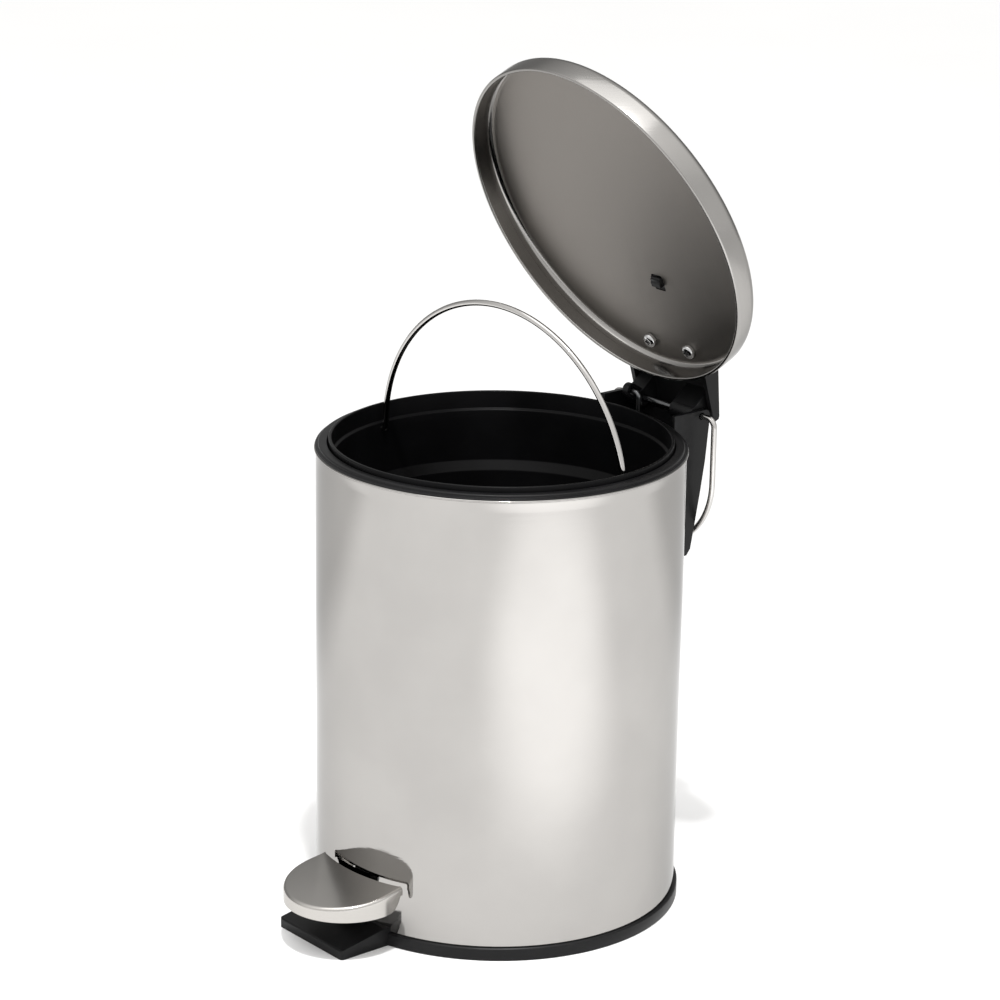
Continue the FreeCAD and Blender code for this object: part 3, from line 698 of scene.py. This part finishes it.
def make_camera():
    """Camera at the measured azimuth, elevation, distance and roll."""
    azimuth, elevation, roll = (math.radians(v) for v in (CAMERA_AZIMUTH, 17.414, 0.895))
    distance = 1.507694
    back = Vector((math.sin(azimuth) * math.cos(elevation), -math.cos(azimuth) * math.cos(elevation),
                   math.sin(elevation)))
    right = Vector((math.cos(azimuth), math.sin(azimuth), 0.0))
    up = back.cross(right)
    centre = Vector((0.0, 0.0, 0.189316)) - right * 0.000292 + back * distance
    right, up = right * math.cos(roll) + up * math.sin(roll), up * math.cos(roll) - right * math.sin(roll)
    camera = bpy.data.objects.new("camera", bpy.data.cameras.new("camera"))
    bpy.context.scene.collection.objects.link(camera)
    camera.data.sensor_width = 36.0
    camera.data.lens = 119.404
    camera.data.clip_start = 0.01
    camera.data.clip_end = 60.0
    camera.matrix_world = Matrix((
        (right.x, up.x, back.x, centre.x), (right.y, up.y, back.y, centre.y),
        (right.z, up.z, back.z, centre.z), (0.0, 0.0, 0.0, 1.0)))
    bpy.context.scene.camera = camera


def make_floor():
    """Plain white floor."""
    mesh = bpy.data.meshes.new("floor")
    reach = 14.0
    mesh.from_pydata([(-reach, -reach, 0), (reach, -reach, 0), (reach, reach, 0), (-reach, reach, 0)],
                     [], [(0, 1, 2, 3)])
    floor = bpy.data.objects.new("floor", mesh)
    bpy.context.scene.collection.objects.link(floor)
    mat, tree, shader, where = new_material("floor_paper", (0.9, 0.9, 0.9), 0.0, 0.9)
    shader.inputs["Specular IOR Level"].default_value = 0.0
    clouds = stretched_noise(tree, where, 3.0, 2.0)
    paper = ramp(tree, clouds, (0.895, 0.895, 0.895), (0.905, 0.905, 0.905))
    tree.links.new(paper, shader.inputs["Base Color"])
    mesh.materials.append(mat)


def add_light(name, azimuth, elevation, distance, size, power):
    """A soft square lamp, placed by azimuth and elevation about the bin."""
    a, e = math.radians(azimuth), math.radians(elevation)
    back = Vector((math.sin(a) * math.cos(e), -math.cos(a) * math.cos(e), math.sin(e)))
    lamp = bpy.data.objects.new(name, bpy.data.lights.new(name, "AREA"))
    bpy.context.scene.collection.objects.link(lamp)
    lamp.data.shape = "RECTANGLE"
    lamp.data.size = size
    lamp.data.size_y = size
    lamp.data.energy = power
    lamp.location = Vector((0.0, 0.0, 0.12)) + back * distance
    lamp.rotation_mode = "QUATERNION"
    lamp.rotation_quaternion = back.to_track_quat("Z", "Y")


def add_spot(name, azimuth, place, aim, height, half_cone, blend, radius, power):
    """A round lamp above the floor, set and aimed along one azimuth by distance from the axis."""
    a = math.radians(azimuth)
    along = Vector((math.sin(a), -math.cos(a), 0.0))
    lamp = bpy.data.objects.new(name, bpy.data.lights.new(name, "SPOT"))
    bpy.context.scene.collection.objects.link(lamp)
    lamp.data.energy = power
    lamp.data.spot_size = math.radians(2.0 * half_cone)
    lamp.data.spot_blend = blend
    lamp.data.shadow_soft_size = radius
    lamp.location = along * place + Vector((0.0, 0.0, height))
    lamp.rotation_mode = "QUATERNION"
    lamp.rotation_quaternion = (lamp.location - along * aim).to_track_quat("Z", "Y")


def make_world():
    """Soft surrounding light: bright in front and above, greyer behind the bin."""
    world = bpy.data.worlds.new("studio")
    bpy.context.scene.world = world
    world.use_nodes = True
    tree = world.node_tree
    background = tree.nodes["Background"]
    coords = tree.nodes.new("ShaderNodeTexCoord")
    split = tree.nodes.new("ShaderNodeSeparateXYZ")
    tree.links.new(coords.outputs["Generated"], split.inputs["Vector"])
    azimuth = math.radians(CAMERA_AZIMUTH)
    toward = tree.nodes.new("ShaderNodeVectorMath")
    toward.operation = "DOT_PRODUCT"
    toward.inputs[1].default_value = (math.sin(azimuth), -math.cos(azimuth), 0.0)
    tree.links.new(coords.outputs["Generated"], toward.inputs[0])
    around = tree.nodes.new("ShaderNodeMapRange")
    around.inputs["From Min"].default_value = -0.55
    around.inputs["From Max"].default_value = 0.25
    around.inputs["To Min"].default_value = 0.38
    around.inputs["To Max"].default_value = 1.10
    tree.links.new(toward.outputs["Value"], around.inputs["Value"])
    above = tree.nodes.new("ShaderNodeMapRange")
    above.inputs["From Min"].default_value = 0.45
    above.inputs["From Max"].default_value = 0.8
    above.inputs["To Min"].default_value = 0.0
    above.inputs["To Max"].default_value = 0.45
    tree.links.new(split.outputs["Z"], above.inputs["Value"])
    add = tree.nodes.new("ShaderNodeMath")
    add.operation = "ADD"
    tree.links.new(around.outputs["Result"], add.inputs[0])
    tree.links.new(above.outputs["Result"], add.inputs[1])
    tree.links.new(add.outputs["Value"], background.inputs["Strength"])
    background.inputs["Color"].default_value = (1.0, 0.995, 0.985, 1.0)


make_camera()
make_floor()
make_world()
add_light("overhead", 20.0, 80.0, 1.9, 1.6, 10.0)
add_spot("front_pool", 56.0, 0.90, 0.90, 3.0, 22.5, 0.08, 0.08, 225.0)
add_spot("right_pool", 79.5, 0.02, 0.515, 1.3, 15.5, 1.0, 0.05, 70.0)
bpy.context.scene.view_settings.view_transform = "Standard"
